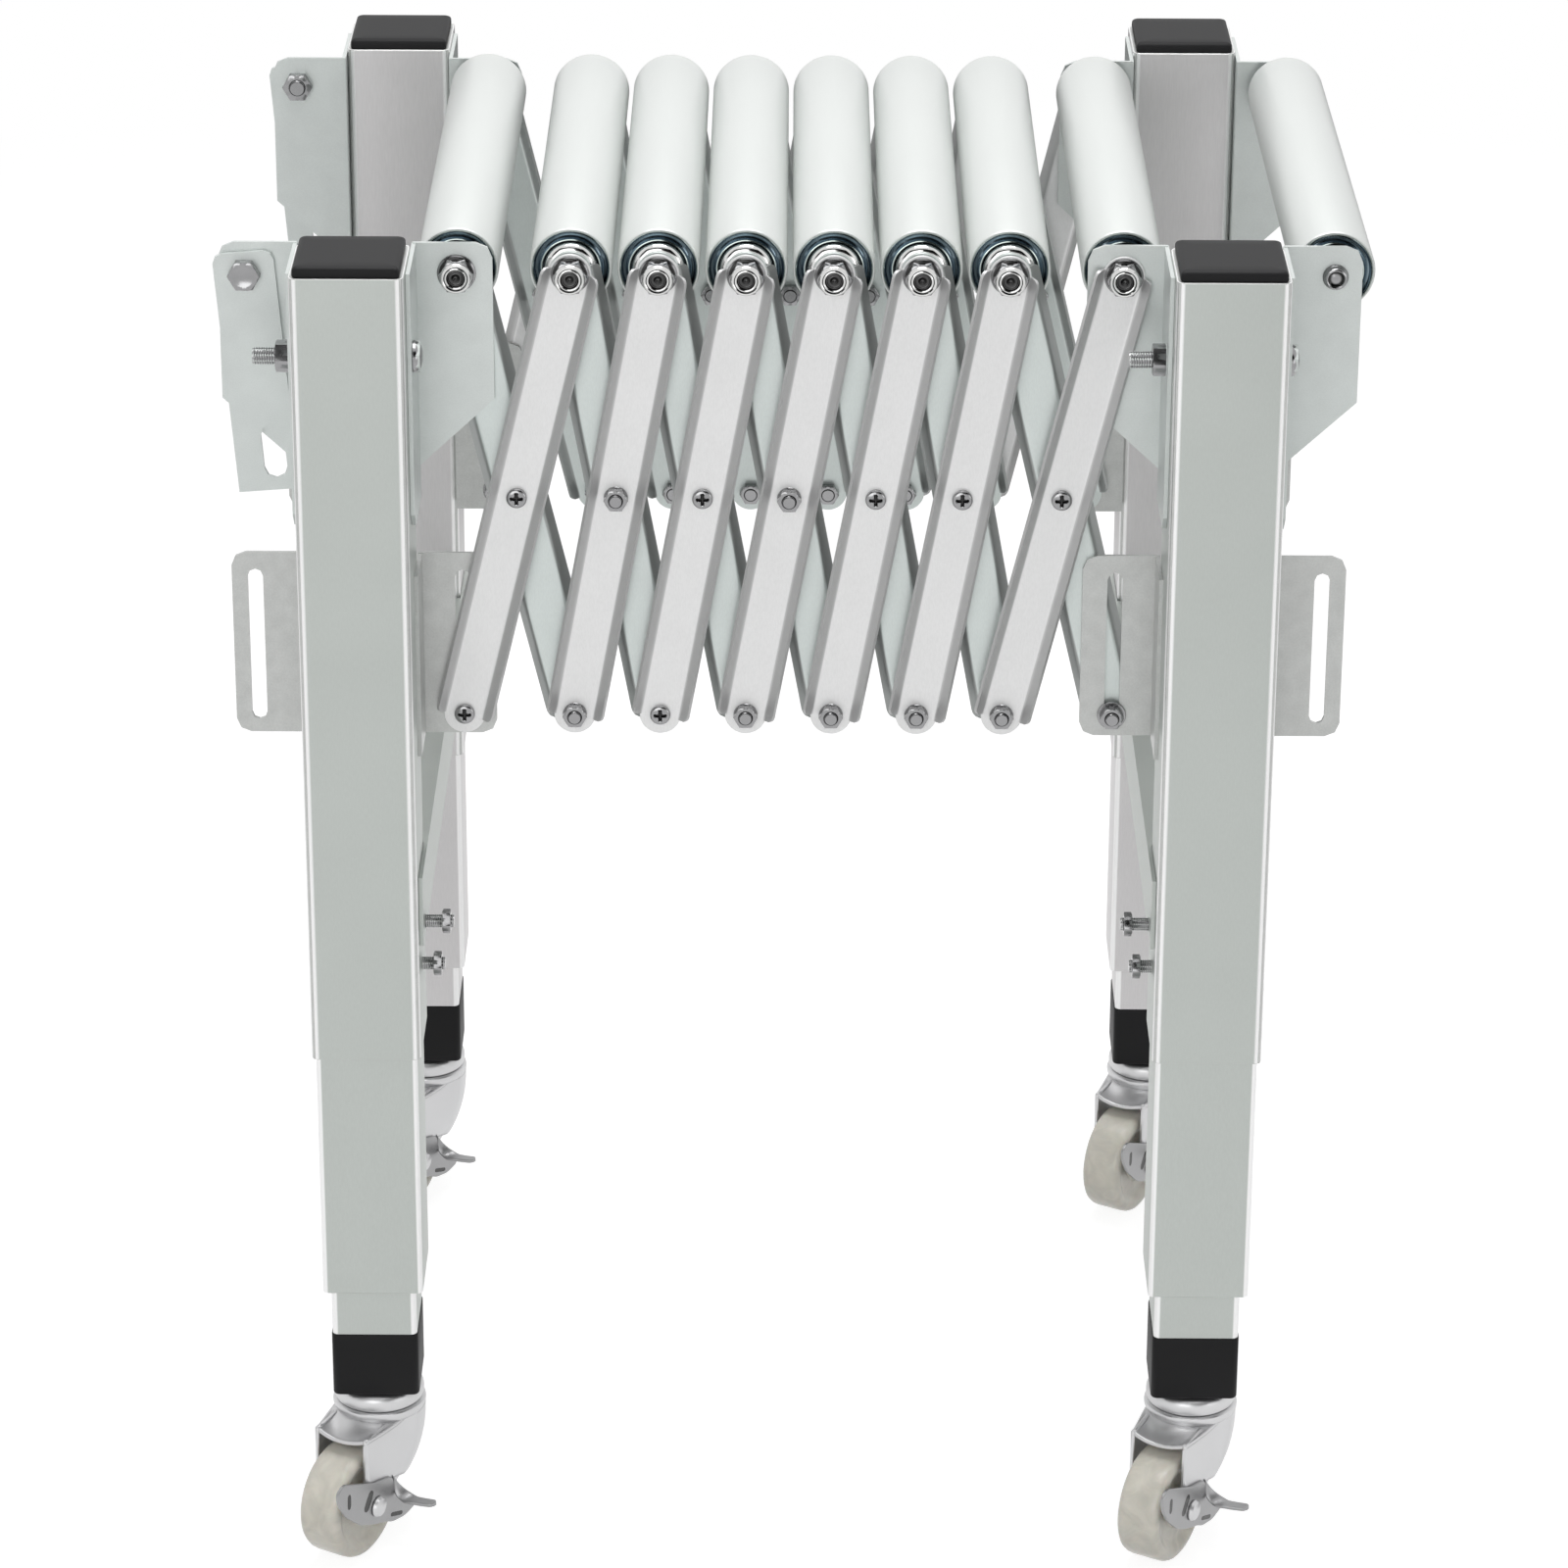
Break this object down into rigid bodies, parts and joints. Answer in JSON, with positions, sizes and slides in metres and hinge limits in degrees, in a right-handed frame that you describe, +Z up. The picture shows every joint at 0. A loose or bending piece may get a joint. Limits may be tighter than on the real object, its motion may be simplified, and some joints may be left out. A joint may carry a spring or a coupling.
{
  "type": "gravity roller conveyor",
  "caption": "Expanding gravity roller conveyor: free rollers on near and far rows of scissor arms, held by telescopic square posts with slotted guides, coupling links and braked casters.",
  "frame": {"origin": "on the floor, under the middle of the conveyor's outline seen from above", "axes": "+X along the travel direction towards the end with the fixed last roller, +Y along the rollers from the near row of arms to the far row, +Z up"},
  "size_m": [0.7006, 0.592, 0.8672],
  "materials": {
    "arm_back": "clear zinc plated pressing",
    "arm_front": "clear zinc plated pressing",
    "brake": "dark zinc plate",
    "bright_steel": "polished zinc plate",
    "galvanised": "galvanised sheet and tube",
    "nylon": "semi-gloss moulded nylon",
    "roller_tube": "bright zinc plated"
  },
  "bodies": {
    "left_frame": {"near_left_post": "galvanised", "far_left_post": "galvanised", "near_left_bracket": "galvanised", "far_left_bracket": "galvanised", "left_cross_rail": "galvanised"},
    "right_frame": {"near_right_post": "galvanised", "far_right_post": "galvanised", "right_bracket_pair": "galvanised", "right_cross_rail": "galvanised"},
    "front_arms_1": {"front_arm_pair_1": "arm_front"},
    "back_arms_1": {"back_arm_pair_1": "arm_back"},
    "front_arms_2": {"front_arm_pair_2": "arm_front"},
    "back_arms_2": {"near_back_arm_2": "arm_back", "far_back_arm_2": "arm_back"},
    "front_arms_3": {"front_arm_pair_3": "arm_front"},
    "back_arms_3": {"near_back_arm_3": "arm_back", "far_back_arm_3": "arm_back"},
    "front_arms_4": {"front_arm_pair_4": "arm_front"},
    "back_arms_4": {"near_back_arm_4": "arm_back", "far_back_arm_4": "arm_back"},
    "front_arms_5": {"front_arm_pair_5": "arm_front"},
    "back_arms_5": {"near_back_arm_5": "arm_back", "far_back_arm_5": "arm_back"},
    "front_arms_6": {"front_arm_pair_6": "arm_front"},
    "back_arms_6": {"near_back_arm_6": "arm_back", "far_back_arm_6": "arm_back"},
    "front_arms_7": {"front_arm_pair_7": "arm_front"},
    "back_arms_7": {"near_back_arm_7": "arm_back", "far_back_arm_7": "arm_back"},
    "roller_1": {"roller_1": "roller_tube"},
    "roller_2": {"roller_2": "roller_tube"},
    "roller_3": {"roller_3": "roller_tube"},
    "roller_4": {"roller_4": "roller_tube"},
    "roller_5": {"roller_5": "roller_tube"},
    "roller_6": {"roller_6": "roller_tube"},
    "roller_7": {"roller_7": "roller_tube"},
    "roller_8": {"roller_8": "roller_tube"},
    "roller_9": {"roller_9": "roller_tube"},
    "near_left_mid": {"near_left_mid_tube": "galvanised"},
    "near_left_foot": {"near_left_foot_tube": "galvanised"},
    "near_left_fork": {"near_left_caster_fork": "bright_steel"},
    "near_left_wheel": {"near_left_caster_wheel": "nylon"},
    "near_left_brake": {"near_left_brake_lever": "brake"},
    "far_left_mid": {"far_left_mid_tube": "galvanised"},
    "far_left_foot": {"far_left_foot_tube": "galvanised"},
    "far_left_fork": {"far_left_caster_fork": "bright_steel"},
    "far_left_wheel": {"far_left_caster_wheel": "nylon"},
    "far_left_brake": {"far_left_brake_lever": "brake"},
    "near_right_mid": {"near_right_mid_tube": "galvanised"},
    "near_right_foot": {"near_right_foot_tube": "galvanised"},
    "near_right_fork": {"near_right_caster_fork": "bright_steel"},
    "near_right_wheel": {"near_right_caster_wheel": "nylon"},
    "near_right_brake": {"near_right_brake_lever": "brake"},
    "far_right_mid": {"far_right_mid_tube": "galvanised"},
    "far_right_foot": {"far_right_foot_tube": "galvanised"},
    "far_right_fork": {"far_right_caster_fork": "bright_steel"},
    "far_right_wheel": {"far_right_caster_wheel": "nylon"},
    "far_right_brake": {"far_right_brake_lever": "brake"},
    "near_link": {"near_coupling_link": "galvanised"},
    "far_link": {"far_coupling_link": "galvanised"}
  },
  "joints": [
    {"name": "scissor_open", "type": "hinge", "parent": "left_frame", "child": "back_arms_1", "pos_m": [-0.20374, 0.01802, 0.84004], "axis": [0, -1, 0], "range_deg": [0, 21.5]},
    {"name": "front_arms_1_pivot", "type": "hinge", "parent": "back_arms_1", "child": "front_arms_1", "pos_m": [-0.16949, 0.01802, 0.69704], "axis": [0, 1, 0], "range_deg": [0, 43.01]},
    {"name": "back_arms_2_pivot", "type": "hinge", "parent": "front_arms_1", "child": "back_arms_2", "pos_m": [-0.13524, 0.01802, 0.84004], "axis": [0, -1, 0], "range_deg": [0, 45.07]},
    {"name": "front_arms_2_pivot", "type": "hinge", "parent": "back_arms_2", "child": "front_arms_2", "pos_m": [-0.10874, 0.01802, 0.69704], "axis": [0, 1, 0], "range_deg": [0, 47.12]},
    {"name": "back_arms_3_pivot", "type": "hinge", "parent": "front_arms_2", "child": "back_arms_3", "pos_m": [-0.08224, 0.01802, 0.84004], "axis": [0, -1, 0], "range_deg": [0, 47.12]},
    {"name": "front_arms_3_pivot", "type": "hinge", "parent": "back_arms_3", "child": "front_arms_3", "pos_m": [-0.05574, 0.01802, 0.69704], "axis": [0, 1, 0], "range_deg": [0, 47.12]},
    {"name": "back_arms_4_pivot", "type": "hinge", "parent": "front_arms_3", "child": "back_arms_4", "pos_m": [-0.02924, 0.01802, 0.84004], "axis": [0, -1, 0], "range_deg": [0, 47.12]},
    {"name": "front_arms_4_pivot", "type": "hinge", "parent": "back_arms_4", "child": "front_arms_4", "pos_m": [-0.00274, 0.01802, 0.69704], "axis": [0, 1, 0], "range_deg": [0, 47.12]},
    {"name": "back_arms_5_pivot", "type": "hinge", "parent": "front_arms_4", "child": "back_arms_5", "pos_m": [0.02376, 0.01802, 0.84004], "axis": [0, -1, 0], "range_deg": [0, 47.12]},
    {"name": "front_arms_5_pivot", "type": "hinge", "parent": "back_arms_5", "child": "front_arms_5", "pos_m": [0.05026, 0.01802, 0.69704], "axis": [0, 1, 0], "range_deg": [0, 47.12]},
    {"name": "back_arms_6_pivot", "type": "hinge", "parent": "front_arms_5", "child": "back_arms_6", "pos_m": [0.07676, 0.01802, 0.84004], "axis": [0, -1, 0], "range_deg": [0, 47.12]},
    {"name": "front_arms_6_pivot", "type": "hinge", "parent": "back_arms_6", "child": "front_arms_6", "pos_m": [0.10326, 0.01802, 0.69704], "axis": [0, 1, 0], "range_deg": [0, 47.12]},
    {"name": "back_arms_7_pivot", "type": "hinge", "parent": "front_arms_6", "child": "back_arms_7", "pos_m": [0.12976, 0.01802, 0.84004], "axis": [0, -1, 0], "range_deg": [0, 45.07]},
    {"name": "front_arms_7_pivot", "type": "hinge", "parent": "back_arms_7", "child": "front_arms_7", "pos_m": [0.16401, 0.01802, 0.69704], "axis": [0, 1, 0], "range_deg": [0, 43.01]},
    {"name": "right_frame_pivot", "type": "hinge", "parent": "front_arms_7", "child": "right_frame", "pos_m": [0.19826, 0.01802, 0.84004], "axis": [0, -1, 0], "range_deg": [0, 21.51]},
    {"name": "roller_1_spin", "type": "hinge", "parent": "back_arms_1", "child": "roller_1", "pos_m": [-0.20374, 0.01802, 0.84004], "axis": [0, 1, 0], "continuous": true},
    {"name": "roller_2_spin", "type": "hinge", "parent": "front_arms_1", "child": "roller_2", "pos_m": [-0.13524, 0.01802, 0.84004], "axis": [0, 1, 0], "continuous": true},
    {"name": "roller_3_spin", "type": "hinge", "parent": "front_arms_2", "child": "roller_3", "pos_m": [-0.08224, 0.01802, 0.84004], "axis": [0, 1, 0], "continuous": true},
    {"name": "roller_4_spin", "type": "hinge", "parent": "front_arms_3", "child": "roller_4", "pos_m": [-0.02924, 0.01802, 0.84004], "axis": [0, 1, 0], "continuous": true},
    {"name": "roller_5_spin", "type": "hinge", "parent": "front_arms_4", "child": "roller_5", "pos_m": [0.02376, 0.01802, 0.84004], "axis": [0, 1, 0], "continuous": true},
    {"name": "roller_6_spin", "type": "hinge", "parent": "front_arms_5", "child": "roller_6", "pos_m": [0.07676, 0.01802, 0.84004], "axis": [0, 1, 0], "continuous": true},
    {"name": "roller_7_spin", "type": "hinge", "parent": "front_arms_6", "child": "roller_7", "pos_m": [0.12976, 0.01802, 0.84004], "axis": [0, 1, 0], "continuous": true},
    {"name": "roller_8_spin", "type": "hinge", "parent": "front_arms_7", "child": "roller_8", "pos_m": [0.19826, 0.01802, 0.84004], "axis": [0, 1, 0], "continuous": true},
    {"name": "roller_9_spin", "type": "hinge", "parent": "right_frame", "child": "roller_9", "pos_m": [0.32576, 0.01802, 0.84004], "axis": [0, 1, 0], "continuous": true},
    {"name": "near_left_mid_slide", "type": "slide", "parent": "left_frame", "child": "near_left_mid", "axis": [0, 0, -1], "range_m": [-0.15, 0.12]},
    {"name": "near_left_foot_slide", "type": "slide", "parent": "near_left_mid", "child": "near_left_foot", "axis": [0, 0, -1], "range_m": [-0.03, 0.2]},
    {"name": "near_left_swivel", "type": "hinge", "parent": "near_left_foot", "child": "near_left_fork", "pos_m": [-0.26474, -0.22598, 0.10904], "axis": [0, 0, 1], "continuous": true},
    {"name": "near_left_wheel_spin", "type": "hinge", "parent": "near_left_fork", "child": "near_left_wheel", "pos_m": [-0.28374, -0.25889, 0.03704], "axis": [0.866, -0.5, 0], "continuous": true},
    {"name": "near_left_brake_turn", "type": "hinge", "parent": "near_left_fork", "child": "near_left_brake", "pos_m": [-0.28374, -0.25889, 0.03704], "axis": [0.866, -0.5, 0], "range_deg": [-9, 9]},
    {"name": "far_left_mid_slide", "type": "slide", "parent": "left_frame", "child": "far_left_mid", "axis": [0, 0, -1], "range_m": [-0.15, 0.12]},
    {"name": "far_left_foot_slide", "type": "slide", "parent": "far_left_mid", "child": "far_left_foot", "axis": [0, 0, -1], "range_m": [-0.03, 0.2]},
    {"name": "far_left_swivel", "type": "hinge", "parent": "far_left_foot", "child": "far_left_fork", "pos_m": [-0.26474, 0.26202, 0.10904], "axis": [0, 0, 1], "continuous": true},
    {"name": "far_left_wheel_spin", "type": "hinge", "parent": "far_left_fork", "child": "far_left_wheel", "pos_m": [-0.28374, 0.22911, 0.03704], "axis": [0.866, -0.5, 0], "continuous": true},
    {"name": "far_left_brake_turn", "type": "hinge", "parent": "far_left_fork", "child": "far_left_brake", "pos_m": [-0.28374, 0.22911, 0.03704], "axis": [0.866, -0.5, 0], "range_deg": [-9, 9]},
    {"name": "near_right_mid_slide", "type": "slide", "parent": "right_frame", "child": "near_right_mid", "axis": [0, 0, -1], "range_m": [-0.15, 0.12]},
    {"name": "near_right_foot_slide", "type": "slide", "parent": "near_right_mid", "child": "near_right_foot", "axis": [0, 0, -1], "range_m": [-0.03, 0.2]},
    {"name": "near_right_swivel", "type": "hinge", "parent": "near_right_foot", "child": "near_right_fork", "pos_m": [0.25926, -0.22598, 0.10904], "axis": [0, 0, 1], "continuous": true},
    {"name": "near_right_wheel_spin", "type": "hinge", "parent": "near_right_fork", "child": "near_right_wheel", "pos_m": [0.24026, -0.25889, 0.03704], "axis": [0.866, -0.5, 0], "continuous": true},
    {"name": "near_right_brake_turn", "type": "hinge", "parent": "near_right_fork", "child": "near_right_brake", "pos_m": [0.24026, -0.25889, 0.03704], "axis": [0.866, -0.5, 0], "range_deg": [-9, 9]},
    {"name": "far_right_mid_slide", "type": "slide", "parent": "right_frame", "child": "far_right_mid", "axis": [0, 0, -1], "range_m": [-0.15, 0.12]},
    {"name": "far_right_foot_slide", "type": "slide", "parent": "far_right_mid", "child": "far_right_foot", "axis": [0, 0, -1], "range_m": [-0.03, 0.2]},
    {"name": "far_right_swivel", "type": "hinge", "parent": "far_right_foot", "child": "far_right_fork", "pos_m": [0.25926, 0.26202, 0.10904], "axis": [0, 0, 1], "continuous": true},
    {"name": "far_right_wheel_spin", "type": "hinge", "parent": "far_right_fork", "child": "far_right_wheel", "pos_m": [0.24026, 0.22911, 0.03704], "axis": [0.866, -0.5, 0], "continuous": true},
    {"name": "far_right_brake_turn", "type": "hinge", "parent": "far_right_fork", "child": "far_right_brake", "pos_m": [0.24026, 0.22911, 0.03704], "axis": [0.866, -0.5, 0], "range_deg": [-9, 9]},
    {"name": "near_link_hinge", "type": "hinge", "parent": "left_frame", "child": "near_link", "pos_m": [-0.33124, 0.01802, 0.84004], "axis": [0, 1, 0], "range_deg": [0, 95]},
    {"name": "far_link_hinge", "type": "hinge", "parent": "left_frame", "child": "far_link", "pos_m": [-0.33124, 0.01802, 0.84004], "axis": [0, 1, 0], "range_deg": [0, 95]}
  ],
  "couplings": [
    {"joint": "front_arms_1_pivot", "follows": "scissor_open", "ratio": 2},
    {"joint": "back_arms_2_pivot", "follows": "scissor_open", "ratio": 2.0955},
    {"joint": "front_arms_2_pivot", "follows": "scissor_open", "ratio": 2.191},
    {"joint": "back_arms_3_pivot", "follows": "scissor_open", "ratio": 2.191},
    {"joint": "front_arms_3_pivot", "follows": "scissor_open", "ratio": 2.191},
    {"joint": "back_arms_4_pivot", "follows": "scissor_open", "ratio": 2.191},
    {"joint": "front_arms_4_pivot", "follows": "scissor_open", "ratio": 2.191},
    {"joint": "back_arms_5_pivot", "follows": "scissor_open", "ratio": 2.191},
    {"joint": "front_arms_5_pivot", "follows": "scissor_open", "ratio": 2.191},
    {"joint": "back_arms_6_pivot", "follows": "scissor_open", "ratio": 2.191},
    {"joint": "front_arms_6_pivot", "follows": "scissor_open", "ratio": 2.191},
    {"joint": "back_arms_7_pivot", "follows": "scissor_open", "ratio": 2.0955},
    {"joint": "front_arms_7_pivot", "follows": "scissor_open", "ratio": 2},
    {"joint": "right_frame_pivot", "follows": "scissor_open", "ratio": 1}
  ]
}
